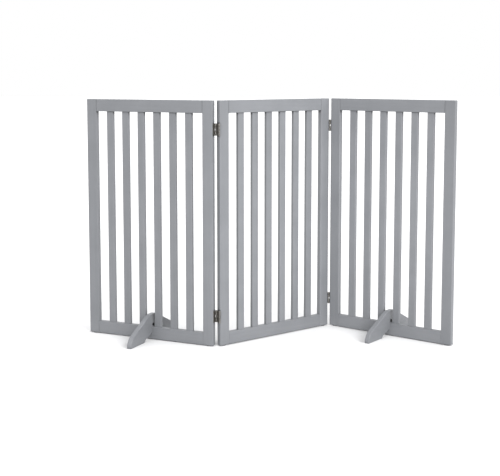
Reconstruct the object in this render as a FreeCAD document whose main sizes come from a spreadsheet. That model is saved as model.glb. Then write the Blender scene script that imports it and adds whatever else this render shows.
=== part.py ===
"""Free-standing folding pet gate: three slatted wooden panels, two 360-degree folding joints with
three-leaf hinges, and two support feet that straddle the bottom rails.

Millimetres, +Z up, floor at Z = 0. X runs along the gate, Y from its front to its back. The
origin is on the floor under the middle of the gate as it stands, half unfolded in a zigzag.
"""
import FreeCAD, Part
import Sketcher
import math
import os

V = FreeCAD.Vector
doc = FreeCAD.newDocument("pet_gate")
PARTS_DIR = "parts"

# ---------------------------------------------------------------- driving dimensions
DRIVING = {
    # panels
    "panel_height": 914,
    "panel_width": 540,
    "frame_depth": 19,
    "stile_width": 42,
    "rail_height": 47,
    "slat_width": 28,
    "slat_depth": 13,
    "slat_count": 6,
    "end_opening": 45,
    "mortise_depth": 10,
    "mortise_play": 0.1,
    "edge_round": 1.5,
    # dowels that join the rails to the stiles
    "dowel_diameter": 8,
    "dowel_length": 30,
    "dowel_play": 0.1,
    "dowel_spacing": 24,
    # glides under the stiles
    "glide_height": 3,
    "glide_diameter": 20,
    "nail_diameter": 2,
    "nail_length": 12,
    # hinges
    "hinge_gap": 7,
    "hinge_height": 44,
    "upper_hinge_drop": 107,
    "lower_hinge_rise": 110,
    "leaf_thickness": 1.5,
    "pin_offset": 1.5,
    "pin_diameter": 3,
    "pin_play": 0.05,
    "pin_head_diameter": 4.8,
    "pin_head_height": 1.2,
    "barrel_diameter": 6,
    "knuckle_height": 14.5,
    "knuckle_play": 0.25,
    "waist_height": 7,
    "neck_reach": 0.94,
    "neck_back": 0.3,
    "screw_spacing": 24,
    "screw_head_diameter": 5.6,
    "screw_head_height": 1.3,
    "screw_diameter": 3,
    "screw_length": 15,
    "recess_length": 2.6,
    "recess_width": 0.6,
    # feet
    "foot_thickness": 18,
    "foot_half_length": 166,
    "foot_height": 99,
    "foot_crown": 22,
    "foot_shoulder_run": 14,
    "foot_shoulder_rise": 36.5,
    "foot_toe_rise": 12,
    "foot_arch_half": 66,
    "foot_arch_knee_half": 58,
    "foot_arch_knee_rise": 10,
    "foot_arch_rise": 27,
    "foot_slot_play": 0.3,
    "crown_radius": 45,
    "shoulder_radius": 28,
    "toe_radius": 12,
    "sole_radius": 3,
    "heel_radius": 2,
    "knee_radius": 14,
    # rubber bumpers in the sides of the feet
    "bumper_diameter": 11,
    "bumper_proud": 3,
    "bumper_round": 1.4,
    "bumper_rise": 58.5,
    "bumper_stem_diameter": 4,
    "bumper_stem_length": 6,
    # how the gate stands, in degrees
    "middle_heading": 36.8,
    "left_fold": 62.6,
    "right_fold": 75.7,
}
DERIVED = {
    "rail_length": "=panel_width - 2 * stile_width",
    "opening_height": "=panel_height - 2 * rail_height",
    "slat_length": "=opening_height + 2 * mortise_depth",
    "slat_pitch": "=(rail_length - 2 * end_opening - slat_width) / (slat_count - 1)",
    "pin_spacing": "=frame_depth + 2 * pin_offset",
    "leaf_clear": "=barrel_diameter / 2 + 0.6",
    "foot_slot_half": "=frame_depth / 2 + foot_slot_play",
    "foot_slot_top": "=glide_height + rail_height",
}

sheet = doc.addObject("Spreadsheet::Sheet", "dims")
for row, (alias, value) in enumerate({**DRIVING, **DERIVED}.items(), start=1):
    sheet.set(f"A{row}", alias)
    sheet.set(f"B{row}", str(value))
    sheet.setAlias(f"B{row}", alias)
doc.recompute()


def dim(alias):
    """The current value of a cell of the sheet."""
    return float(sheet.get(alias))


# ---------------------------------------------------------------- sketching helpers
def new_body(label):
    body = doc.addObject("PartDesign::Body", label)
    body.Label = label
    body.AllowCompound = True
    return body


def origin_plane(body, role):
    return next(f for f in body.Origin.OriginFeatures if f.Role == role)


def new_sketch(body, name, role, offset=None):
    """An empty sketch on one of the body's origin planes, lifted by an offset expression."""
    sketch = body.newObject("Sketcher::SketchObject", f"{body.Name}_{name}")
    sketch.AttachmentSupport = [(origin_plane(body, role), "")]
    sketch.MapMode = "FlatFace"
    if offset:
        sketch.setExpression("AttachmentOffset.Base.z", offset)
    return sketch


def bind(sketch, kind, geo, pos, expression):
    """A distance from the sketch's origin to a point, driven by an expression."""
    index = sketch.addConstraint(Sketcher.Constraint(kind, -1, 1, geo, pos, 1.0))
    sketch.setExpression(f"Constraints[{index}]", expression)


def draw_outline(sketch, corners):
    """A closed polygon. Each corner is a pair of expressions, neither of them negative."""
    count = len(corners)
    # a regular polygon to begin with, which the bound distances then pull to size
    turns = [2 * math.pi * i / count for i in range(count + 1)]
    spread = [V(20 + 10 * math.cos(turn), 20 + 10 * math.sin(turn), 0) for turn in turns]
    for start, end in zip(spread, spread[1:]):
        sketch.addGeometry(Part.LineSegment(start, end), False)
    for i in range(count):
        sketch.addConstraint(Sketcher.Constraint("Coincident", i, 2, (i + 1) % count, 1))
    for i, (x, y) in enumerate(corners):
        bind(sketch, "DistanceX", i, 1, x)
        bind(sketch, "DistanceY", i, 1, y)


def draw_rectangle(sketch, x, y, width, height):
    far_x, far_y = f"({x}) + ({width})", f"({y}) + ({height})"
    draw_outline(sketch, [(x, y), (far_x, y), (far_x, far_y), (x, far_y)])


def draw_circle(sketch, x, y, radius):
    index = sketch.addGeometry(Part.Circle(V(10, 10, 0), V(0, 0, 1), 1), False)
    bind(sketch, "DistanceX", index, 3, x)
    bind(sketch, "DistanceY", index, 3, y)
    radius_index = sketch.addConstraint(Sketcher.Constraint("Radius", index, 1.0))
    sketch.setExpression(f"Constraints[{radius_index}]", radius)


def pad(body, sketch, length):
    feature = body.newObject("PartDesign::Pad", f"{sketch.Name}_pad")
    feature.Profile = sketch
    feature.setExpression("Length", length)
    return feature


def pocket(body, sketch, depth=None, along_normal=False):
    """Cuts a sketch into the body, against its normal unless told otherwise.
    No depth cuts right through."""
    feature = body.newObject("PartDesign::Pocket", f"{sketch.Name}_pocket")
    feature.Profile = sketch
    feature.Reversed = along_normal
    if depth:
        feature.setExpression("Length", depth)
    else:
        feature.Type = "ThroughAll"
        feature.Midplane = True
    return feature


def revolve(body, sketch):
    """Revolves a sketch of the XZ plane about the body's Z axis."""
    feature = body.newObject("PartDesign::Revolution", f"{sketch.Name}_turned")
    feature.Profile = sketch
    feature.ReferenceAxis = (sketch, ["V_Axis"])
    feature.Angle = 360
    return feature


def repeat(body, feature, role, spacing, count):
    """Repeats a feature along one of the body's origin axes."""
    pattern = body.newObject("PartDesign::LinearPattern", f"{feature.Name}_row")
    pattern.Originals = [feature]
    pattern.Direction = (origin_plane(body, role), [""])
    pattern.setExpression("Length", f"({spacing}) * ({count} - 1)")
    pattern.setExpression("Occurrences", count)
    body.Tip = pattern
    return pattern


def round_edges(body, base, names, radius):
    feature = body.newObject("PartDesign::Fillet", f"{base.Name}_rounded")
    feature.Base = (base, names)
    feature.setExpression("Radius", radius)
    return feature


def all_edges(feature):
    doc.recompute()
    return [f"Edge{i + 1}" for i in range(len(feature.Shape.Edges))]


# ---------------------------------------------------------------- wooden panel pieces
def make_stile(label, hinged):
    """Upright with its inner edge on the plane X = 0: dowel holes there, and a nail hole in its foot."""
    body = new_body(label)
    block = new_sketch(body, "block", "XY_Plane")
    draw_rectangle(block, "0", "0", "dims.stile_width", "dims.frame_depth")
    post = pad(body, block, "dims.panel_height")
    round_edges(body, post, all_edges(post), "dims.edge_round")

    dowels = new_sketch(body, "dowels", "YZ_Plane")
    for rail_middle in ("dims.rail_height / 2", "dims.panel_height - dims.rail_height / 2"):
        for side in ("-", "+"):
            draw_circle(dowels, "dims.frame_depth / 2", f"{rail_middle} {side} dims.dowel_spacing / 2",
                        "dims.dowel_diameter / 2 + dims.dowel_play")
    pocket(body, dowels, "dims.dowel_length / 2", along_normal=True)

    nail = new_sketch(body, "nail", "XY_Plane")
    draw_circle(nail, "dims.stile_width / 2", "dims.frame_depth / 2",
                "dims.nail_diameter / 2 + dims.dowel_play")
    pocket(body, nail, "dims.nail_length", along_normal=True)

    if hinged:
        pilots = new_sketch(body, "pilots", "YZ_Plane", "dims.stile_width")
        for middle in ("dims.lower_hinge_rise", "dims.panel_height - dims.upper_hinge_drop"):
            for side in ("-", "+"):
                draw_circle(pilots, "dims.frame_depth / 2", f"{middle} {side} dims.screw_spacing / 2",
                            "dims.screw_diameter / 2 + dims.dowel_play")
        pocket(body, pilots, "dims.screw_length")
    return body


def make_rail(label):
    """Rail with its slat mortises in the face Z = 0 and a pair of dowel holes in each end."""
    body = new_body(label)
    section = new_sketch(body, "section", "YZ_Plane")
    draw_rectangle(section, "0", "0", "dims.frame_depth", "dims.rail_height")
    bar = pad(body, section, "dims.rail_length")
    round_edges(body, bar, all_edges(bar), "dims.edge_round")

    mouth = new_sketch(body, "mortise", "XY_Plane")
    draw_rectangle(mouth, "dims.end_opening - dims.mortise_play",
                   "(dims.frame_depth - dims.slat_depth) / 2 - dims.mortise_play",
                   "dims.slat_width + 2 * dims.mortise_play", "dims.slat_depth + 2 * dims.mortise_play")
    mortise = pocket(body, mouth, "dims.mortise_depth", along_normal=True)
    repeat(body, mortise, "X_Axis", "dims.slat_pitch", "dims.slat_count")

    for end, offset in (("near", None), ("far", "dims.rail_length")):
        holes = new_sketch(body, f"{end}_dowels", "YZ_Plane", offset)
        for side in ("-", "+"):
            draw_circle(holes, "dims.frame_depth / 2",
                        f"dims.rail_height / 2 {side} dims.dowel_spacing / 2",
                        "dims.dowel_diameter / 2 + dims.dowel_play")
        pocket(body, holes, "dims.dowel_length / 2", along_normal=offset is None)
    return body


def make_slat(label):
    body = new_body(label)
    section = new_sketch(body, "section", "XY_Plane")
    draw_rectangle(section, "0", "0", "dims.slat_width", "dims.slat_depth")
    bar = pad(body, section, "dims.slat_length")
    doc.recompute()
    uprights = [f"Edge{i + 1}" for i, edge in enumerate(bar.Shape.Edges)
                if edge.BoundBox.ZLength > dim("slat_length") / 2]
    round_edges(body, bar, uprights, "dims.edge_round")
    return body


def make_dowels(label):
    """The eight dowels of a panel: two in each of its four rail ends."""
    body = new_body(label)
    section = new_sketch(body, "section", "YZ_Plane", "dims.stile_width - dims.dowel_length / 2")
    draw_circle(section, "dims.frame_depth / 2", "dims.rail_height / 2 - dims.dowel_spacing / 2",
                "dims.dowel_diameter / 2")
    first = pad(body, section, "dims.dowel_length")
    steps = (("X_Axis", "dims.rail_length"),
             ("Z_Axis", "dims.dowel_spacing"),
             ("Z_Axis", "dims.panel_height - dims.rail_height"))
    transform = body.newObject("PartDesign::MultiTransform", f"{label}_places")
    patterns = []
    for n, (role, spacing) in enumerate(steps):
        pattern = body.newObject("PartDesign::LinearPattern", f"{label}_row{n}")
        pattern.Direction = (origin_plane(body, role), [""])
        pattern.setExpression("Length", spacing)
        pattern.Occurrences = 2
        patterns.append(pattern)
    transform.Originals = [first]
    transform.Transformations = patterns
    body.Tip = transform
    return body


def make_glides(label):
    """A panel's two nail-on glides, one under the middle of each stile."""
    body = new_body(label)
    half = new_sketch(body, "half", "XZ_Plane")
    draw_outline(half, [
        ("0", "0"),
        ("dims.glide_diameter / 2 - dims.glide_height / 3", "0"),
        ("dims.glide_diameter / 2", "dims.glide_height / 3"),
        ("dims.glide_diameter / 2", "dims.glide_height"),
        ("dims.nail_diameter / 2", "dims.glide_height"),
        ("dims.nail_diameter / 2", "dims.glide_height + dims.nail_length - dims.nail_diameter"),
        ("0", "dims.glide_height + dims.nail_length"),
    ])
    repeat(body, revolve(body, half), "X_Axis", "dims.panel_width - dims.stile_width", "2")
    return body


# ---------------------------------------------------------------- hinge pieces
def make_outer_leaf(label):
    """Leaf screwed to a stile's edge, which is the plane X = 0. Its barrel's axis is the body's
    line X = half the gap, Y = one barrel diameter, and its knuckles are the lowest and highest thirds."""
    body = new_body(label)
    axis_x, axis_y = "dims.hinge_gap / 2", "dims.barrel_diameter"
    plate = new_sketch(body, "plate", "XY_Plane")
    draw_outline(plate, [
        ("0", f"{axis_y} + dims.barrel_diameter / 2"),
        (f"{axis_x} - dims.neck_reach * dims.barrel_diameter / 2", axis_y),
        (f"{axis_x} - dims.neck_back * dims.barrel_diameter / 2",
         f"{axis_y} + dims.neck_reach * dims.barrel_diameter / 2"),
        ("dims.leaf_thickness", f"{axis_y} + dims.leaf_clear + dims.leaf_thickness"),
        ("dims.leaf_thickness", f"{axis_y} + dims.pin_spacing - dims.leaf_clear"),
        ("0", f"{axis_y} + dims.pin_spacing - dims.leaf_clear"),
    ])
    pad(body, plate, "dims.hinge_height")
    barrel = new_sketch(body, "barrel", "XY_Plane")
    draw_circle(barrel, axis_x, axis_y, "dims.barrel_diameter / 2")
    pad(body, barrel, "dims.hinge_height")
    notch = new_sketch(body, "notch", "XY_Plane", "dims.knuckle_height")
    draw_rectangle(notch, "0", "0", "dims.hinge_gap", f"{axis_y} + dims.leaf_clear")
    pocket(body, notch, "dims.hinge_height - 2 * dims.knuckle_height", along_normal=True)
    bore = new_sketch(body, "bore", "XY_Plane")
    draw_circle(bore, axis_x, axis_y, "dims.pin_diameter / 2 + dims.pin_play")
    pocket(body, bore)

    screws = new_sketch(body, "screws", "YZ_Plane", "dims.leaf_thickness")
    for side in ("-", "+"):
        draw_circle(screws, f"{axis_y} + dims.pin_spacing / 2",
                    f"dims.hinge_height / 2 {side} dims.screw_spacing / 2", "dims.screw_diameter / 2")
    doc.recompute()
    hole = body.newObject("PartDesign::Hole", f"{label}_screw_holes")
    hole.Profile = screws
    hole.DepthType = "ThroughAll"
    hole.HoleCutType = "Countersink"
    hole.setExpression("Diameter", "dims.screw_diameter + 2 * dims.dowel_play")
    hole.setExpression("HoleCutDiameter", "dims.screw_head_diameter + 2 * dims.dowel_play")
    hole.HoleCutCountersinkAngle = 90
    return body


def make_centre_leaf(label):
    """Leaf between the two pins, with a middle knuckle on each that an open waist parts in two.
    The front pin's axis is the line X = Y = one barrel diameter."""
    body = new_body(label)
    axis = "dims.barrel_diameter"
    side = f"{axis} - dims.leaf_thickness / 2"
    knuckle_start = "dims.knuckle_height + dims.knuckle_play"
    knuckle_length = f"dims.hinge_height - 2 * ({knuckle_start})"
    waist_start = "(dims.hinge_height - dims.waist_height) / 2"
    plate = new_sketch(body, "plate", "XY_Plane")
    draw_rectangle(plate, side, f"{axis} + dims.leaf_clear", "dims.leaf_thickness",
                   "dims.pin_spacing - 2 * dims.leaf_clear")
    pad(body, plate, "dims.hinge_height")
    web = new_sketch(body, "web", "XY_Plane", knuckle_start)
    draw_rectangle(web, side, axis, "dims.leaf_thickness", "dims.pin_spacing")
    pad(body, web, knuckle_length)
    for name, y in (("front", axis), ("back", f"{axis} + dims.pin_spacing")):
        barrel = new_sketch(body, f"{name}_barrel", "XY_Plane", knuckle_start)
        draw_circle(barrel, axis, y, "dims.barrel_diameter / 2")
        pad(body, barrel, knuckle_length)
        bore = new_sketch(body, f"{name}_bore", "XY_Plane")
        draw_circle(bore, axis, y, "dims.pin_diameter / 2 + dims.pin_play")
        pocket(body, bore)
        waist = new_sketch(body, f"{name}_waist", "XY_Plane", waist_start)
        draw_rectangle(waist, "0", f"{y} - dims.leaf_clear", "2 * dims.barrel_diameter",
                       "2 * dims.leaf_clear")
        pocket(body, waist, "dims.waist_height", along_normal=True)
    return body


def make_pins(label):
    """The front and the back pin of a hinge, each with a cone head at both ends."""
    body = new_body(label)
    half = new_sketch(body, "half", "XZ_Plane")
    head, shank = "dims.pin_head_diameter / 2", "dims.pin_diameter / 2"
    draw_outline(half, [
        ("0", "0"),
        (f"{head} - dims.pin_head_height / 2", "0"),
        (head, "dims.pin_head_height / 2"),
        (head, "dims.pin_head_height"),
        (shank, "dims.pin_head_height"),
        (shank, "dims.pin_head_height + dims.hinge_height"),
        (head, "dims.pin_head_height + dims.hinge_height"),
        (head, "1.5 * dims.pin_head_height + dims.hinge_height"),
        (f"{head} - dims.pin_head_height / 2", "2 * dims.pin_head_height + dims.hinge_height"),
        ("0", "2 * dims.pin_head_height + dims.hinge_height"),
    ])
    repeat(body, revolve(body, half), "Y_Axis", "dims.pin_spacing", "2")
    return body


def make_screw():
    """One countersunk wood screw, head up along +Z with its top on Z = 0 and a cross recess in it.
    The screw groups below hold placed links to it."""
    body = new_body("wood_screw")
    half = new_sketch(body, "half", "XZ_Plane")
    half.setExpression("AttachmentOffset.Base.y", "-dims.screw_length")
    head, shank = "dims.screw_head_diameter / 2", "dims.screw_diameter / 2"
    draw_outline(half, [
        ("0", "0"),
        (shank, "dims.screw_diameter"),
        (shank, "dims.screw_length - dims.screw_head_height"),
        (head, "dims.screw_length"),
        ("0", "dims.screw_length"),
    ])
    revolve(body, half)
    for name, along_x, along_y in (("slot_x", "recess_length", "recess_width"),
                                   ("slot_y", "recess_width", "recess_length")):
        slot = new_sketch(body, name, "XY_Plane")
        slot.setExpression("AttachmentOffset.Base.x", f"-dims.{along_x} / 2")
        slot.setExpression("AttachmentOffset.Base.y", f"-dims.{along_y} / 2")
        draw_rectangle(slot, "0", "0", f"dims.{along_x}", f"dims.{along_y}")
        pocket(body, slot, "dims.screw_head_height / 2")
    return body


# ---------------------------------------------------------------- foot pieces
def make_foot(label):
    """Foot board that straddles the bottom rail: its middle is the plane Y = 0, its left side X = 0."""
    body = new_body(label)
    profile = new_sketch(body, "profile", "YZ_Plane")
    draw_outline(profile, [
        ("0", "dims.foot_slot_top"),
        ("0", "dims.foot_height"),
        ("dims.foot_crown", "dims.foot_height"),
        ("dims.foot_half_length - dims.foot_shoulder_run", "dims.foot_shoulder_rise"),
        ("dims.foot_half_length", "dims.foot_toe_rise"),
        ("dims.foot_half_length", "0"),
        ("dims.foot_arch_half", "0"),
        ("dims.foot_arch_knee_half", "dims.foot_arch_knee_rise"),
        ("dims.foot_slot_half", "dims.foot_arch_rise"),
        ("dims.foot_slot_half", "dims.foot_slot_top"),
    ])
    half = pad(body, profile, "dims.foot_thickness")
    whole = body.newObject("PartDesign::Mirrored", f"{label}_whole")
    whole.Originals = [half]
    whole.MirrorPlane = (origin_plane(body, "XZ_Plane"), [""])
    body.Tip = whole
    doc.recompute()

    def corner_edges(shape, y, z):
        """The edges across the board's thickness that stand at plus and minus y, height z."""
        return [f"Edge{i + 1}" for i, edge in enumerate(shape.Edges)
                if edge.BoundBox.XLength > dim("foot_thickness") / 2
                and abs(abs(edge.CenterOfMass.y) - y) < 0.01 and abs(edge.CenterOfMass.z - z) < 0.01]

    half_length = dim("foot_half_length")
    corners = {
        "crown": (dim("foot_crown"), dim("foot_height")),
        "shoulder": (half_length - dim("foot_shoulder_run"), dim("foot_shoulder_rise")),
        "toe": (half_length, dim("foot_toe_rise")),
        "sole": (half_length, 0),
        "heel": (dim("foot_arch_half"), 0),
        "knee": (dim("foot_arch_knee_half"), dim("foot_arch_knee_rise")),
    }
    last = whole
    for name, (y, z) in corners.items():
        fillet = body.newObject("PartDesign::Fillet", f"{label}_{name}")
        fillet.Base = (last, corner_edges(last.Shape, y, z))
        fillet.setExpression("Radius", f"dims.{name}_radius")
        doc.recompute()
        last = fillet

    def is_rim(edge):
        """An edge of either side face, outside the slot."""
        box = edge.BoundBox
        on_side = box.XLength < 0.01
        within_slot = abs(edge.CenterOfMass.y) < dim("foot_slot_half") + 1
        below_slot_top = box.ZMax < dim("foot_slot_top") + 1
        return on_side and not (within_slot and below_slot_top)

    rim = [f"Edge{i + 1}" for i, edge in enumerate(last.Shape.Edges) if is_rim(edge)]
    round_edges(body, last, rim, "dims.edge_round")

    stem = new_sketch(body, "stem_hole", "YZ_Plane")
    draw_circle(stem, "0", "dims.bumper_rise", "dims.bumper_stem_diameter / 2 + dims.dowel_play")
    pocket(body, stem)
    return body


def make_bumpers(label):
    """The push-in rubber bumpers in both sides of a foot, in the foot's own coordinates."""
    body = new_body(label)
    for name, head_start, stem_start in (
        ("left", "-dims.bumper_proud", "-dims.bumper_proud"),
        ("right", "dims.foot_thickness", "dims.foot_thickness - dims.bumper_stem_length"),
    ):
        head = new_sketch(body, f"{name}_head", "YZ_Plane", head_start)
        draw_circle(head, "0", "dims.bumper_rise", "dims.bumper_diameter / 2")
        pad(body, head, "dims.bumper_proud")
        stem = new_sketch(body, f"{name}_stem", "YZ_Plane", stem_start)
        draw_circle(stem, "0", "dims.bumper_rise", "dims.bumper_stem_diameter / 2")
        last = pad(body, stem, "dims.bumper_proud + dims.bumper_stem_length")
    doc.recompute()
    middle, reach = dim("foot_thickness") / 2, dim("foot_thickness") / 2 + dim("bumper_proud")
    rims = [f"Edge{i + 1}" for i, edge in enumerate(last.Shape.Edges)
            if abs(abs(edge.CenterOfMass.x - middle) - reach) < 0.01]
    round_edges(body, last, rims, "dims.bumper_round")
    return body


# ---------------------------------------------------------------- where the panels stand
width, depth = dim("panel_width"), dim("frame_depth")
pin_x, pin_y = dim("hinge_gap") / 2, dim("pin_offset")


def shift(x, y, z=0.0):
    return FreeCAD.Placement(V(x, y, z), FreeCAD.Rotation())


def yaw(degrees):
    return FreeCAD.Placement(V(), FreeCAD.Rotation(V(0, 0, 1), degrees))


def flip(axis):
    """Half a turn about an axis through the origin."""
    return FreeCAD.Placement(V(), FreeCAD.Rotation(axis, 180))


# the left panel folds backwards about its back pin, the right one forwards about its front pin
middle = yaw(dim("middle_heading"))
left_back_pin = middle * shift(-pin_x, depth + pin_y)
right_front_pin = middle * shift(width + pin_x, -pin_y)
FRAMES = {
    "left": left_back_pin * yaw(-dim("left_fold")) * shift(-width - pin_x, -depth - pin_y),
    "middle": middle,
    "right": right_front_pin * yaw(-dim("right_fold")) * shift(pin_x, pin_y),
}
PIN_AXES = {
    "left_front_pin": middle * shift(-pin_x, -pin_y),
    "left_back_pin": left_back_pin,
    "right_front_pin": right_front_pin,
    "right_back_pin": middle * shift(width + pin_x, depth + pin_y),
}

nodes = []


def place(piece, placement):
    piece.Placement = placement
    nodes.append(piece)


# ---------------------------------------------------------------- panels
HINGED_EDGES = {"left": ("right",), "middle": ("left", "right"), "right": ("left",)}
base, stile = dim("glide_height"), dim("stile_width")
rail_length, rail_height = dim("rail_length"), dim("rail_height")
rail_top = base + rail_height

for panel, frame in FRAMES.items():
    hinged = HINGED_EDGES[panel]
    place(make_stile(f"{panel}_panel_left_stile", "left" in hinged),
          frame * shift(stile, depth, base) * yaw(180))
    place(make_stile(f"{panel}_panel_right_stile", "right" in hinged),
          frame * shift(width - stile, 0, base))
    place(make_rail(f"{panel}_panel_top_rail"),
          frame * shift(stile, 0, base + dim("panel_height") - rail_height))
    place(make_rail(f"{panel}_panel_bottom_rail"),
          frame * shift(stile, depth, rail_top) * flip(V(1, 0, 0)))
    for n in range(int(dim("slat_count"))):
        place(make_slat(f"{panel}_panel_slat_{n + 1}"),
              frame * shift(stile + dim("end_opening") + n * dim("slat_pitch"),
                            (depth - dim("slat_depth")) / 2, rail_top - dim("mortise_depth")))
    place(make_dowels(f"{panel}_panel_dowels"), frame * shift(0, 0, base))
    place(make_glides(f"{panel}_panel_glides"), frame * shift(stile / 2, depth / 2))

# ---------------------------------------------------------------- hinges
hinge_height = dim("hinge_height")
hinge_levels = {
    "lower": base + dim("lower_hinge_rise"),
    "upper": base + dim("panel_height") - dim("upper_hinge_drop"),
}
# a panel's hinged edge, and whether its leaf turns on the front or the back pin
LEAVES = {
    "left_joint": (("left", "right", "back"), ("middle", "left", "front")),
    "right_joint": (("middle", "right", "back"), ("right", "left", "front")),
}
# the middle panel carries each joint's centre leaves, which stand square to its edge
LINK_EDGES = {"left_joint": -pin_x, "right_joint": width + pin_x}
barrel = dim("barrel_diameter")


def edge_frame(panel, edge, pin, level):
    """A leaf's placement: X out of the stile's edge, Y away from the pin's face of the panel."""
    out_of_edge = FRAMES[panel] * shift(width if edge == "right" else 0, 0, level)
    if pin == "front":
        turned = shift(0, -pin_y) * flip(V(0, 1, 0))
    else:
        turned = shift(0, depth + pin_y) * flip(V(1, 0, 0))
    return out_of_edge * turned * shift(0, -barrel, -hinge_height / 2)


for joint, leaves in LEAVES.items():
    for height, level in hinge_levels.items():
        for panel, edge, pin in leaves:
            place(make_outer_leaf(f"{joint}_{height}_{panel}_leaf"), edge_frame(panel, edge, pin, level))
        link = FRAMES["middle"] * shift(LINK_EDGES[joint], -pin_y, level - hinge_height / 2)
        place(make_centre_leaf(f"{joint}_{height}_centre_leaf"), link * shift(-barrel, -barrel))
        place(make_pins(f"{joint}_{height}_pins"), link * shift(0, 0, -dim("pin_head_height")))

# ---------------------------------------------------------------- hinge screws
wood_screw = make_screw()
for joint, leaves in LEAVES.items():
    for panel, edge, _ in leaves:
        label = f"{joint}_{panel}_screws"
        group = doc.addObject("Part::Compound", label)
        links = []
        for level in hinge_levels.values():
            for side in (-1, 1):
                out = 1 if edge == "right" else -1
                head = V((width if edge == "right" else 0) + out * dim("leaf_thickness"), depth / 2,
                         level + side * dim("screw_spacing") / 2)
                link = doc.addObject("App::Link", f"{label}_{len(links) + 1}")
                link.LinkedObject = wood_screw
                link.LinkPlacement = FreeCAD.Placement(head, FreeCAD.Rotation(V(0, 0, 1), V(out, 0, 0)))
                links.append(link)
        group.Links = links
        place(group, FRAMES[panel])

# ---------------------------------------------------------------- support feet
for panel in ("left", "right"):
    foot_frame = FRAMES[panel] * shift((width - dim("foot_thickness")) / 2, depth / 2)
    place(make_foot(f"{panel}_foot_board"), foot_frame)
    place(make_bumpers(f"{panel}_foot_bumpers"), foot_frame)

# ---------------------------------------------------------------- checks and export
doc.recompute()
failed = [o.Label for o in doc.Objects if {"Invalid", "Error"} & set(o.State)]
if failed:
    raise RuntimeError(f"features that did not compute: {failed}")
for node in nodes:
    if node.Shape.isNull() or not node.Shape.isValid():
        raise RuntimeError(f"{node.Label} has no valid shape")

# the origin goes to the middle of the gate's footprint
boxes = [node.Shape.optimalBoundingBox(False) for node in nodes]
to_centre = shift(-(min(b.XMin for b in boxes) + max(b.XMax for b in boxes)) / 2,
                  -(min(b.YMin for b in boxes) + max(b.YMax for b in boxes)) / 2)
for node in nodes:
    node.Placement = to_centre * node.Placement
doc.recompute()

os.makedirs(PARTS_DIR, exist_ok=True)
for node in nodes:
    node.Shape.exportStep(os.path.join(PARTS_DIR, f"{node.Label}.step"))
    print(f"{node.Label}: {len(node.Shape.Solids)} solid(s), {node.Shape.Volume:.0f} mm3")
for name, axis in PIN_AXES.items():
    place_on_floor = (to_centre * axis).Base
    print(f"{name}: x {place_on_floor.x:.3f}, y {place_on_floor.y:.3f}")
print(f"{len(nodes)} nodes")
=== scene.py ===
import math

import bpy
from mathutils import Euler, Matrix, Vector

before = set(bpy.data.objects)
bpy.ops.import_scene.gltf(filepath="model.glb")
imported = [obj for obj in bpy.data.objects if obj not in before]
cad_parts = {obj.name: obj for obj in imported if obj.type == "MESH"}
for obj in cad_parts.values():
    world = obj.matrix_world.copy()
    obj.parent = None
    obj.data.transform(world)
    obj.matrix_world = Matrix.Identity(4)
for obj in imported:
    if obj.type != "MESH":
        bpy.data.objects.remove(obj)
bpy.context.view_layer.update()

# ---------------------------------------------------------------- the object

PANELS = ("left", "middle", "right")
# A foot board runs square to its panel, in degrees.
SQUARE = 90.0


def centre(node):
    """The middle of a CAD node's box."""
    corners = [Vector(corner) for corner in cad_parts[node].bound_box]
    return sum(corners, Vector()) / len(corners)


def heading_of(panel):
    """Which way a panel runs, in degrees, anticlockwise from +X seen from above."""
    run = centre(f"{panel}_panel_right_stile") - centre(f"{panel}_panel_left_stile")
    return math.degrees(math.atan2(run.y, run.x))


# ---------------------------------------------------------------- colours, linear

PAINT = (0.152, 0.157, 0.167)
PAINT_DARK = (0.131, 0.136, 0.145)
# Painted shade: the dark colour that inner corners are darkened towards, standing in for their
# shadow.
PAINT_SHADE = (0.026, 0.027, 0.029)
# Lighter paint on the edges: partly rubbed paint, partly a painted highlight where rounded edges
# catch light.
PAINT_RUBBED_AND_LIT = (0.235, 0.241, 0.252)
BRONZE_DARK = (0.105, 0.101, 0.095)
BRONZE = (0.235, 0.225, 0.208)
BRONZE_RUBBED = (0.440, 0.415, 0.370)
STEEL_DARK = (0.060, 0.056, 0.052)
STEEL = (0.160, 0.148, 0.132)
STEEL_RUBBED = (0.420, 0.390, 0.340)
BEECH = (0.560, 0.370, 0.215)
BEECH_DARK = (0.400, 0.235, 0.120)
NYLON = (0.070, 0.070, 0.072)
NYLON_PALE = (0.110, 0.110, 0.112)
RUBBER = (0.003, 0.003, 0.003)
RUBBER_DUSTY = (0.010, 0.010, 0.011)
FLOOR = (0.660, 0.660, 0.665)
FLOOR_DARK = (0.630, 0.630, 0.636)

# ---------------------------------------------------------------- textures

# How much longer than wide the figure of the timber is.
GRAIN_STRETCH = 38.0
# How far each board's figure is moved from its neighbour's, along X, Y and Z.
BOARD_MOVES = (1.0, 7.3, 3.1)

# Scales, in features per metre.
CLOUD_SCALE = 9.0
SWAY_SCALE = 26.0
FIGURE_SCALE = 34.0
RUB_SCALE = 55.0
FIBRE_SCALE = 520.0
PEEL_SCALE = 620.0
PORE_SCALE = 760.0
MOTTLE_SCALE = 260.0
METAL_RUB_SCALE = 420.0
SPECK_SCALE = 1500.0
HAIR_SCALE = 2600.0
DOWEL_GRAIN_SCALE = 900.0
FLECK_SCALE = 700.0
DUST_SCALE = 90.0
NYLON_GRIT_SCALE = 1400.0
RUBBER_GRIT_SCALE = 1800.0
FLOOR_CLOUD_SCALE = 3.0
FLOOR_GRIT_SCALE = 240.0

# Depths of the bumps, in metres.
FIGURE_DEPTH = 0.00004
FIBRE_DEPTH = 0.00012
PORE_DEPTH = 0.00008
PEEL_DEPTH = 0.00010
HAIR_DEPTH = 0.00003
MOTTLE_DEPTH = 0.00005
DOWEL_GRAIN_DEPTH = 0.00010
NYLON_GRIT_DEPTH = 0.00004
RUBBER_GRIT_DEPTH = 0.00006
FLOOR_GRIT_DEPTH = 0.00020

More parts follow.
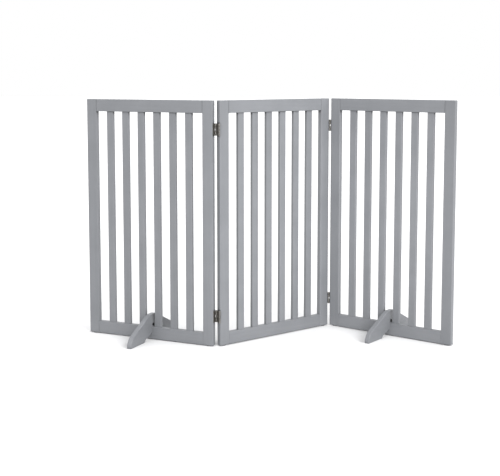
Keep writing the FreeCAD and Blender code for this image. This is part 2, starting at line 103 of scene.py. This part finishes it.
# Roughness where the surface is smoothest, and how strongly a coat or a plastic shines.
PAINT_ROUGHNESS, PAINT_SPECULAR = 0.40, 0.42
BRONZE_ROUGHNESS = 0.30
STEEL_ROUGHNESS = 0.32
METALLIC = 0.90
BEECH_ROUGHNESS = 0.55
NYLON_ROUGHNESS, NYLON_SPECULAR = 0.42, 0.45
RUBBER_ROUGHNESS, RUBBER_SPECULAR = 0.62, 0.12
FLOOR_ROUGHNESS, FLOOR_SPECULAR = 0.60, 0.20

# How much a fine texture is drawn out along X, Y and Z. The hinges are brushed upright.
BRUSHED = (1.0, 1.0, 30.0)
UNBRUSHED = (1.0, 1.0, 1.0)
DOWEL_STRETCH = (6.0, 6.0, 6.0)

# How far an edge shows that it is rubbed, in metres. On the painted wood the lighter edge is also
# a painted highlight.
PAINT_EDGE = 0.0022
METAL_EDGE = 0.0007
MOULDED_EDGE = 0.0008
EDGE_SAMPLES = 6

# Painted shade: inner corners are darkened as if in shadow, this far out of the corner, in
# metres, and less so near the floor.
SHADE_REACH = 0.015
SHADE_LOW, SHADE_HIGH = 0.05, 0.14
SHADE_AT_FLOOR = 0.03
SHADE_SAMPLES = 8


# ---------------------------------------------------------------- building blocks for materials

class Graph:
    """A material's node tree, with short calls that add nodes and join them."""

    def __init__(self, name):
        self.material = bpy.data.materials.new(name)
        self.material.use_nodes = True
        self.tree = self.material.node_tree
        self.shader = self.tree.nodes["Principled BSDF"]

    def feed(self, socket, value):
        """Link a socket to another one, or set its value."""
        if isinstance(value, bpy.types.NodeSocket):
            self.tree.links.new(value, socket)
        else:
            socket.default_value = value

    def node(self, kind, settings=None, **inputs):
        made = self.tree.nodes.new(kind)
        for key, value in (settings or {}).items():
            setattr(made, key, value)
        for key, value in inputs.items():
            self.feed(made.inputs[key.replace("_", " ")], value)
        return made

    def maths(self, operation, first, second):
        made = self.node("ShaderNodeMath", {"operation": operation})
        self.feed(made.inputs[0], first)
        self.feed(made.inputs[1], second)
        return made.outputs[0]

    def add(self, first, second):
        return self.maths("ADD", first, second)

    def take(self, first, second):
        return self.maths("SUBTRACT", first, second)

    def times(self, first, second):
        return self.maths("MULTIPLY", first, second)

    def vectors(self, operation, first, second):
        made = self.node("ShaderNodeVectorMath", {"operation": operation})
        self.feed(made.inputs[0], first)
        self.feed(made.inputs[1], second)
        return made

    def ramp(self, value, low, high, to_low=0.0, to_high=1.0):
        """A smooth step from one value to another."""
        made = self.node("ShaderNodeMapRange", {"interpolation_type": "SMOOTHSTEP"},
                         Value=value, From_Min=low, From_Max=high, To_Min=to_low, To_Max=to_high)
        return made.outputs["Result"]

    def noise(self, vector, scale, detail=2.0, roughness=0.5, distortion=0.0):
        made = self.node("ShaderNodeTexNoise", Vector=vector, Scale=scale, Detail=detail,
                         Roughness=roughness, Distortion=distortion)
        return made.outputs["Fac"]

    def mix(self, factor, first, second):
        """A colour between two, each a socket or three numbers."""
        made = self.node("ShaderNodeMix", {"data_type": "RGBA"})
        self.feed(made.inputs[0], factor)
        for socket, value in ((made.inputs[6], first), (made.inputs[7], second)):
            self.feed(socket, value if isinstance(value, bpy.types.NodeSocket) else (*value, 1.0))
        return made.outputs[2]

    def brighten(self, colour, factor):
        made = self.node("ShaderNodeVectorMath", {"operation": "SCALE"}, Scale=factor)
        self.feed(made.inputs[0], colour)
        return made.outputs[0]

    def place(self):
        return self.node("ShaderNodeTexCoord").outputs["Object"]

    def board_random(self):
        return self.node("ShaderNodeObjectInfo").outputs["Random"]

    def turned(self, vector, heading, stretch):
        """Coordinates turned about Z by a heading, and drawn out by a stretch along each axis."""
        made = self.node("ShaderNodeMapping", {"vector_type": "TEXTURE"}, Vector=vector)
        made.inputs["Rotation"].default_value = (0.0, 0.0, math.radians(heading))
        made.inputs["Scale"].default_value = stretch
        return made.outputs["Vector"]

    def edges(self, radius, low=0.03, high=0.30):
        """0 on flat faces, up to 1 on the edges."""
        bevel = self.node("ShaderNodeBevel", {"samples": EDGE_SAMPLES}, Radius=radius)
        face = self.node("ShaderNodeNewGeometry").outputs["Normal"]
        alike = self.vectors("DOT_PRODUCT", bevel.outputs["Normal"], face).outputs["Value"]
        return self.ramp(self.take(1.0, alike), low, high)

    def corner_shade(self, distance, low, high):
        """Painted shade mask: 1 in tight inner corners, down to 0 in the open."""
        occlusion = self.node("ShaderNodeAmbientOcclusion", {"samples": SHADE_SAMPLES},
                              Distance=distance)
        return self.ramp(occlusion.outputs["AO"], low, high, to_low=1.0, to_high=0.0)

    def bump(self, height, depth, strength, below=None):
        """A normal from a height, over the one from an earlier bump."""
        made = self.node("ShaderNodeBump", Height=height, Distance=depth, Strength=strength)
        if below is not None:
            self.feed(made.inputs["Normal"], below)
        return made.outputs["Normal"]

    def finish(self, colour, roughness, normal, **uniform):
        """Join the shader's main sockets, and set the ones that are the same all over."""
        self.feed(self.shader.inputs["Base Color"], colour)
        self.feed(self.shader.inputs["Roughness"], roughness)
        self.feed(self.shader.inputs["Normal"], normal)
        for key, value in uniform.items():
            self.shader.inputs[key.replace("_", " ")].default_value = value
        return self.material


# ---------------------------------------------------------------- materials

def painted_wood(name, heading, upright):
    """Satin paint over timber: the figure, the pores and the roller's texture show through it."""
    g = Graph(name)
    here = g.place()
    chance = g.board_random()
    moves = [g.times(chance, move) for move in BOARD_MOVES]
    offset = g.node("ShaderNodeCombineXYZ", X=moves[0], Y=moves[1], Z=moves[2]).outputs["Vector"]
    moved = g.vectors("ADD", here, offset).outputs[0]
    along = (1.0, 1.0, GRAIN_STRETCH) if upright else (GRAIN_STRETCH, 1.0, 1.0)
    timber = g.turned(moved, heading, along)

    sway = g.noise(timber, SWAY_SCALE)
    bands = {"wave_type": "BANDS", "bands_direction": "DIAGONAL", "wave_profile": "SAW"}
    figure = g.node("ShaderNodeTexWave", bands, Vector=timber, Scale=FIGURE_SCALE,
                    Distortion=5.5, Detail=2.0, Detail_Scale=1.6).outputs["Fac"]
    fibre = g.noise(timber, FIBRE_SCALE, detail=3.0, roughness=0.6)
    pores = g.ramp(g.noise(timber, PORE_SCALE, detail=1.0), 0.62, 0.74)
    peel = g.noise(here, PEEL_SCALE, roughness=0.55)
    cloud = g.noise(here, CLOUD_SCALE, detail=3.0, roughness=0.55)
    patches = g.ramp(g.noise(here, RUB_SCALE, detail=3.0), 0.36, 0.70)
    edge = g.times(g.edges(PAINT_EDGE), patches)

    tone = g.add(g.times(cloud, 0.55), g.times(sway, 0.45))
    colour = g.mix(g.ramp(tone, 0.30, 0.72), PAINT_DARK, PAINT)
    lightness = g.add(0.975, g.times(chance, 0.05))
    lightness = g.add(lightness, g.times(g.take(figure, 0.5), 0.035))
    lightness = g.take(lightness, g.times(pores, 0.055))
    colour = g.brighten(colour, lightness)
    # Edges go lighter in patches: partly rubbed paint, partly a painted highlight on the rounded
    # edges.
    colour = g.mix(g.times(edge, 0.55), colour, PAINT_RUBBED_AND_LIT)
    height = g.node("ShaderNodeSeparateXYZ", Vector=here).outputs["Z"]
    # Painted shade: inner corners, such as under the top rails, are darkened as if in shadow, and
    # less so near the floor.
    off_floor = g.ramp(height, SHADE_LOW, SHADE_HIGH, to_low=SHADE_AT_FLOOR)
    painted_shade = g.times(g.corner_shade(SHADE_REACH, 0.62, 0.97), off_floor)
    colour = g.mix(painted_shade, colour, PAINT_SHADE)

    rough = g.add(PAINT_ROUGHNESS, g.times(cloud, 0.14))
    rough = g.add(rough, g.times(pores, 0.16))
    rough = g.take(rough, g.times(edge, 0.10))

    normal = g.bump(figure, FIGURE_DEPTH, 0.35)
    normal = g.bump(fibre, FIBRE_DEPTH, 0.50, normal)
    normal = g.bump(g.take(1.0, pores), PORE_DEPTH, 0.50, normal)
    normal = g.bump(peel, PEEL_DEPTH, 0.35, normal)
    return g.finish(colour, rough, normal, Specular_IOR_Level=PAINT_SPECULAR)


def plated_metal(name, dark, pale, rubbed, brushed, roughness):
    """Dark plated metal: mottled plating, fine brushing, and bright edges where it rubs."""
    g = Graph(name)
    here = g.place()
    mottle = g.noise(here, MOTTLE_SCALE, detail=4.0, roughness=0.62)
    hair = g.noise(g.turned(here, 0.0, brushed), HAIR_SCALE)
    speck = g.ramp(g.noise(here, SPECK_SCALE), 0.60, 0.72)
    patches = g.ramp(g.noise(here, METAL_RUB_SCALE, detail=3.0), 0.30, 0.62)
    edge = g.times(g.edges(METAL_EDGE, low=0.02), patches)
    colour = g.mix(g.ramp(mottle, 0.34, 0.70), dark, pale)
    colour = g.brighten(colour, g.add(0.90, g.times(hair, 0.20)))
    colour = g.mix(g.times(edge, 0.70), colour, rubbed)
    rough = g.add(roughness, g.times(mottle, 0.16))
    rough = g.add(rough, g.times(speck, 0.12))
    rough = g.take(rough, g.times(edge, 0.10))
    normal = g.bump(hair, HAIR_DEPTH, 0.45)
    normal = g.bump(mottle, MOTTLE_DEPTH, 0.35, normal)
    return g.finish(colour, rough, normal, Metallic=METALLIC)


def bare_beech(name):
    """Unpainted turned dowel, with short dark flecks."""
    g = Graph(name)
    here = g.place()
    timber = g.turned(here, 0.0, DOWEL_STRETCH)
    grain = g.noise(timber, DOWEL_GRAIN_SCALE, detail=4.0, roughness=0.6, distortion=0.4)
    fleck = g.ramp(g.noise(here, FLECK_SCALE), 0.62, 0.72)
    colour = g.mix(g.ramp(grain, 0.30, 0.70), BEECH_DARK, BEECH)
    colour = g.mix(g.times(fleck, 0.5), colour, BEECH_DARK)
    rough = g.add(BEECH_ROUGHNESS, g.times(grain, 0.20))
    return g.finish(colour, rough, g.bump(grain, DOWEL_GRAIN_DEPTH, 0.5))


def moulded(name, dark, pale, scale, depth, roughness, specular):
    """Moulded plastic or rubber, with a fine spark-eroded texture and a little dust."""
    g = Graph(name)
    here = g.place()
    grit = g.noise(here, scale, detail=3.0, roughness=0.6)
    dust = g.noise(here, DUST_SCALE, detail=3.0, roughness=0.6)
    edge = g.edges(MOULDED_EDGE)
    colour = g.mix(g.ramp(dust, 0.42, 0.75), dark, pale)
    colour = g.mix(g.times(edge, 0.45), colour, pale)
    rough = g.add(roughness, g.times(dust, 0.18))
    return g.finish(colour, rough, g.bump(grit, depth, 0.6), Specular_IOR_Level=specular)


def pale_floor(name):
    """Smooth studio floor, very slightly uneven in tone."""
    g = Graph(name)
    here = g.place()
    cloud = g.noise(here, FLOOR_CLOUD_SCALE, detail=3.0)
    grit = g.noise(here, FLOOR_GRIT_SCALE)
    colour = g.mix(cloud, FLOOR_DARK, FLOOR)
    rough = g.add(FLOOR_ROUGHNESS, g.times(cloud, 0.10))
    normal = g.bump(grit, FLOOR_GRIT_DEPTH, 0.2)
    return g.finish(colour, rough, normal, Specular_IOR_Level=FLOOR_SPECULAR)


paints = {}
for panel in PANELS:
    heading = heading_of(panel)
    paints[panel, "upright"] = painted_wood(f"paint_{panel}_uprights", heading, True)
    paints[panel, "level"] = painted_wood(f"paint_{panel}_rails", heading, False)
    if panel != "middle":
        paints[panel, "foot"] = painted_wood(f"paint_{panel}_foot", heading + SQUARE, False)
hinge_metal = plated_metal("hinge_bronze", BRONZE_DARK, BRONZE, BRONZE_RUBBED, BRUSHED,
                           BRONZE_ROUGHNESS)
screw_steel = plated_metal("screw_bronze", STEEL_DARK, STEEL, STEEL_RUBBED, UNBRUSHED,
                           STEEL_ROUGHNESS)
beech = bare_beech("dowel_beech")
nylon = moulded("glide_nylon", NYLON, NYLON_PALE, NYLON_GRIT_SCALE, NYLON_GRIT_DEPTH,
                NYLON_ROUGHNESS, NYLON_SPECULAR)
rubber = moulded("bumper_rubber", RUBBER, RUBBER_DUSTY, RUBBER_GRIT_SCALE, RUBBER_GRIT_DEPTH,
                 RUBBER_ROUGHNESS, RUBBER_SPECULAR)


def material_for(node):
    """The material of a CAD node, from what its name says it is."""
    panel = node.split("_")[0]
    if node.endswith("_foot_board"):
        return paints[panel, "foot"]
    if node.endswith("_rail"):
        return paints[panel, "level"]
    if node.endswith("_stile") or "_slat_" in node:
        return paints[panel, "upright"]
    if node.endswith("_dowels"):
        return beech
    if node.endswith("_glides"):
        return nylon
    if node.endswith("_bumpers"):
        return rubber
    if node.endswith("_screws"):
        return screw_steel
    return hinge_metal


for name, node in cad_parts.items():
    node.data.materials.clear()
    node.data.materials.append(material_for(name))


# ---------------------------------------------------------------- floor, light and camera

FLOOR_HALF = 40.0
FLOOR_STEPS = 16

# Broad lights from far off: name, azimuth, elevation, spread in degrees, and strength.
# Azimuth 0 is in front of the object and 90 to its right.
LIGHTS = (
    ("key", 40.0, 35.0, 30.0, 2.9),
    ("fill", -30.0, 34.0, 50.0, 1.6),
    ("side", 98.0, 35.0, 40.0, 1.2),
    ("rear", 215.0, 35.0, 60.0, 0.6),
)
LIGHT_DISTANCE = 6.0

# A square light with a narrow beam, low in front, for the inner corner of the right joint.
CORNER_PLACE = (0.24, -2.7, 0.2)
CORNER_AIM = (0.27, 0.17, 0.50)
CORNER_SIZE = 0.5
CORNER_SPREAD = 36.0
CORNER_POWER = 2.2

WORLD_STRENGTH = 1.0

# The camera stands in front, a little above the top rails, and looks slightly down.
CAMERA_PLACE = (-0.1589, -3.9566, 1.0159)
CAMERA_YAW = -1.36
CAMERA_DOWN = 5.76
SENSOR_WIDTH = 36.0
FOCAL_LENGTH = 74.84
CAMERA_SHIFT = -0.12
CLIP_END = 100.0


def add_object(name, data):
    made = bpy.data.objects.new(name, data)
    bpy.context.scene.collection.objects.link(made)
    return made


def make_floor():
    """A pale floor that reaches past the view."""
    step = 2.0 * FLOOR_HALF / FLOOR_STEPS
    count = FLOOR_STEPS + 1
    points = [(-FLOOR_HALF + i * step, -FLOOR_HALF + j * step, 0.0)
              for j in range(count) for i in range(count)]
    corners = [j * count + i for j in range(FLOOR_STEPS) for i in range(FLOOR_STEPS)]
    faces = [(first, first + 1, first + count + 1, first + count) for first in corners]
    mesh = bpy.data.meshes.new("studio_floor")
    mesh.from_pydata(points, [], faces)
    mesh.materials.append(pale_floor("floor_pale"))
    add_object("studio_floor", mesh)


def make_light(name, azimuth, elevation, spread, strength):
    data = bpy.data.lights.new(name, "SUN")
    data.angle = math.radians(spread)
    data.energy = strength
    light = add_object(name, data)
    turn, rise = math.radians(azimuth), math.radians(elevation)
    towards = Vector((math.sin(turn) * math.cos(rise), -math.cos(turn) * math.cos(rise),
                      math.sin(rise)))
    light.location = towards * LIGHT_DISTANCE
    light.rotation_euler = towards.to_track_quat("Z", "Y").to_euler()


def make_corner_light():
    data = bpy.data.lights.new("corner", "AREA")
    data.shape = "SQUARE"
    data.size = CORNER_SIZE
    data.spread = math.radians(CORNER_SPREAD)
    data.energy = CORNER_POWER
    light = add_object("corner", data)
    light.location = CORNER_PLACE
    aim = Vector(CORNER_AIM) - Vector(CORNER_PLACE)
    light.rotation_euler = aim.to_track_quat("-Z", "Y").to_euler()


def make_world():
    world = bpy.data.worlds.new("studio")
    world.use_nodes = True
    background = world.node_tree.nodes["Background"]
    background.inputs["Color"].default_value = (1.0, 1.0, 1.0, 1.0)
    background.inputs["Strength"].default_value = WORLD_STRENGTH
    bpy.context.scene.world = world


def make_camera():
    data = bpy.data.cameras.new("camera")
    data.sensor_fit = "HORIZONTAL"
    data.sensor_width = SENSOR_WIDTH
    data.lens = FOCAL_LENGTH
    data.shift_y = CAMERA_SHIFT
    data.clip_end = CLIP_END
    camera = add_object("camera", data)
    camera.location = CAMERA_PLACE
    camera.rotation_euler = Euler((math.radians(90.0 - CAMERA_DOWN), 0.0,
                                   math.radians(CAMERA_YAW)))
    bpy.context.scene.camera = camera


make_floor()
make_world()
for light in LIGHTS:
    make_light(*light)
make_corner_light()
make_camera()
bpy.context.scene.view_settings.view_transform = "Standard"
